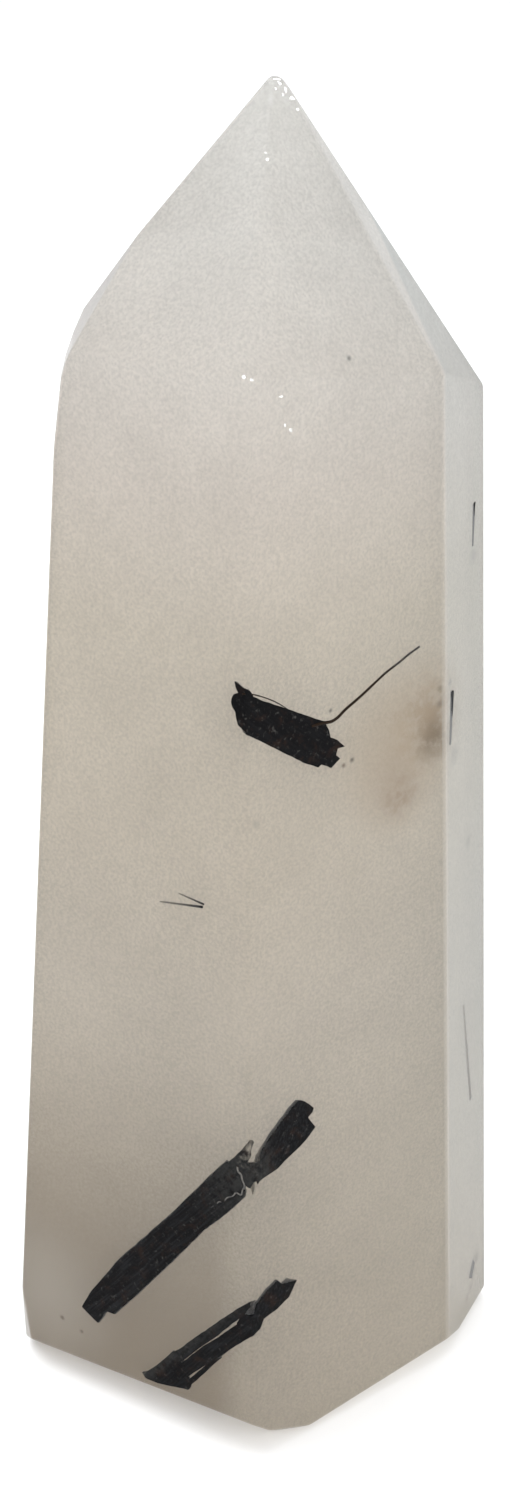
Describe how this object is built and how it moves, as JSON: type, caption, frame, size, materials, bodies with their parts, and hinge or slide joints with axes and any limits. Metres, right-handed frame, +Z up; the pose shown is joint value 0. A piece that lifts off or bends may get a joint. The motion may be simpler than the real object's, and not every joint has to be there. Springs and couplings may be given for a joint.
{
  "type": "tourmalinated quartz point",
  "caption": "Polished six-sided point of milky quartz standing on a flat foot, with black tourmaline rods and needles grown through it.",
  "frame": {"origin": "middle of the flat foot's bounding rectangle, on the surface it stands on", "axes": "+Z up along the point, -Y towards the front ridge and the camera, +X to the right side of the picture"},
  "size_m": [0.0387, 0.0328, 0.1003],
  "materials": {
    "milky_quartz": "polished, see-through near the surface and milky inside, warm grey towards the foot, with small rust stains",
    "black_tourmaline": "black, finely striated along its length, dull where it is broken and polished flush where a face cuts it"
  },
  "bodies": {
    "root": {"quartz_point": "milky_quartz", "tourmaline_block": "black_tourmaline", "tourmaline_long_rod": "black_tourmaline", "tourmaline_fork": "black_tourmaline", "tourmaline_side_upper": "black_tourmaline", "tourmaline_side_middle": "black_tourmaline", "tourmaline_side_lower": "black_tourmaline", "tourmaline_side_foot": "black_tourmaline", "tourmaline_needle_long": "black_tourmaline", "tourmaline_needle_short": "black_tourmaline", "tourmaline_hair": "black_tourmaline"}
  },
  "joints": []
}
